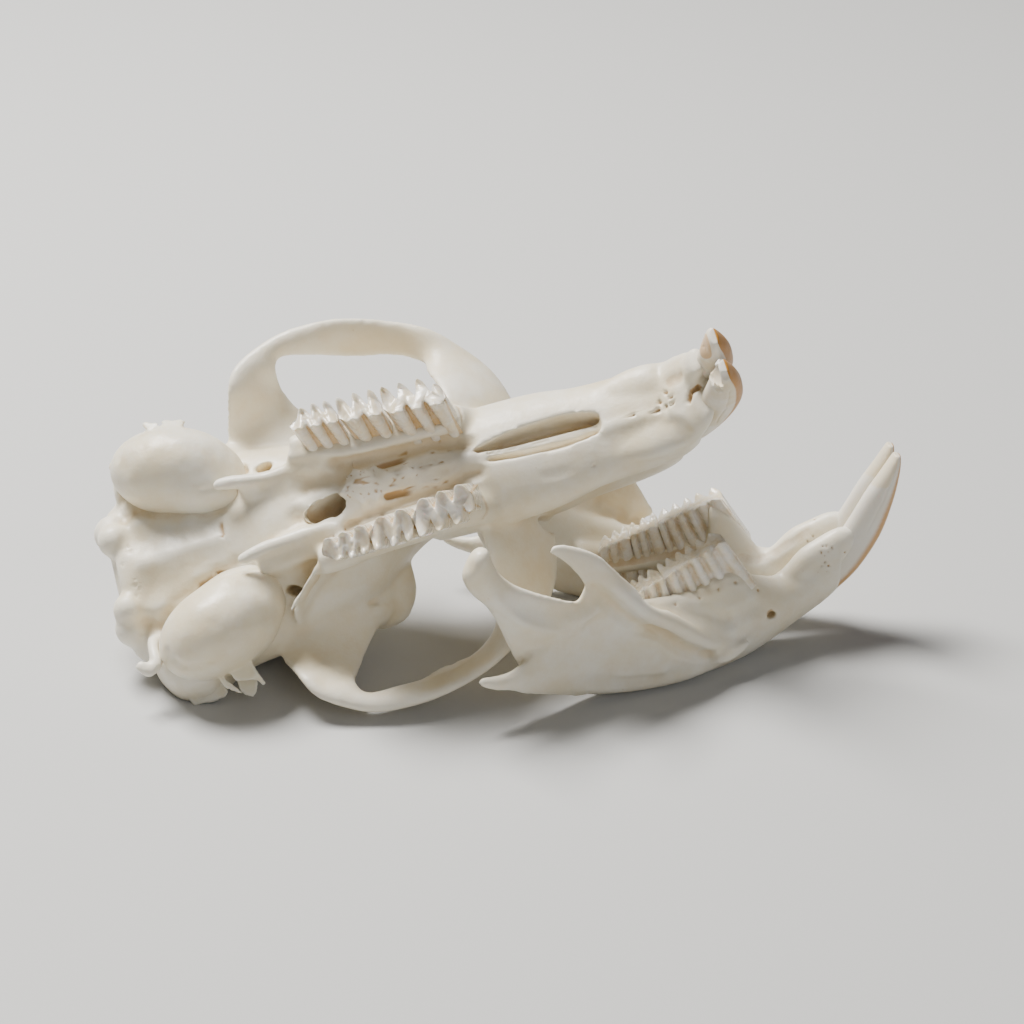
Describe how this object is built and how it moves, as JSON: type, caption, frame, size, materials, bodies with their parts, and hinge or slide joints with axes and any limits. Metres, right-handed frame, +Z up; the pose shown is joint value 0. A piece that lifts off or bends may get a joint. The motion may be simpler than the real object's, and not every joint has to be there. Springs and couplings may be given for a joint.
{
  "type": "muskrat skull",
  "caption": "Cleaned muskrat skull: the cranium lying on its back with the palate up, and the lower jaw standing upright against it.",
  "frame": {"origin": "middle of the bounding box, at the level of the surface the bones lie on", "axes": "+X from the back of the cranium towards the incisors, +Y away from the viewer of the picture, +Z up"},
  "size_m": [0.0808, 0.0324, 0.0365],
  "materials": {
    "bone": "satin",
    "thin_bone": "satin",
    "upper_enamel": "gloss",
    "lower_enamel": "gloss"
  },
  "bodies": {
    "root": {"braincase": "bone", "snout_and_palate": "bone", "cheek_arch_left": "bone", "cheek_arch_right": "bone", "ear_bulla_left": "thin_bone", "ear_bulla_right": "thin_bone", "upper_incisor_left": "upper_enamel", "upper_incisor_right": "upper_enamel", "jaw_left": "bone", "jaw_right": "bone", "lower_incisor_left": "lower_enamel", "lower_incisor_right": "lower_enamel"}
  },
  "joints": []
}
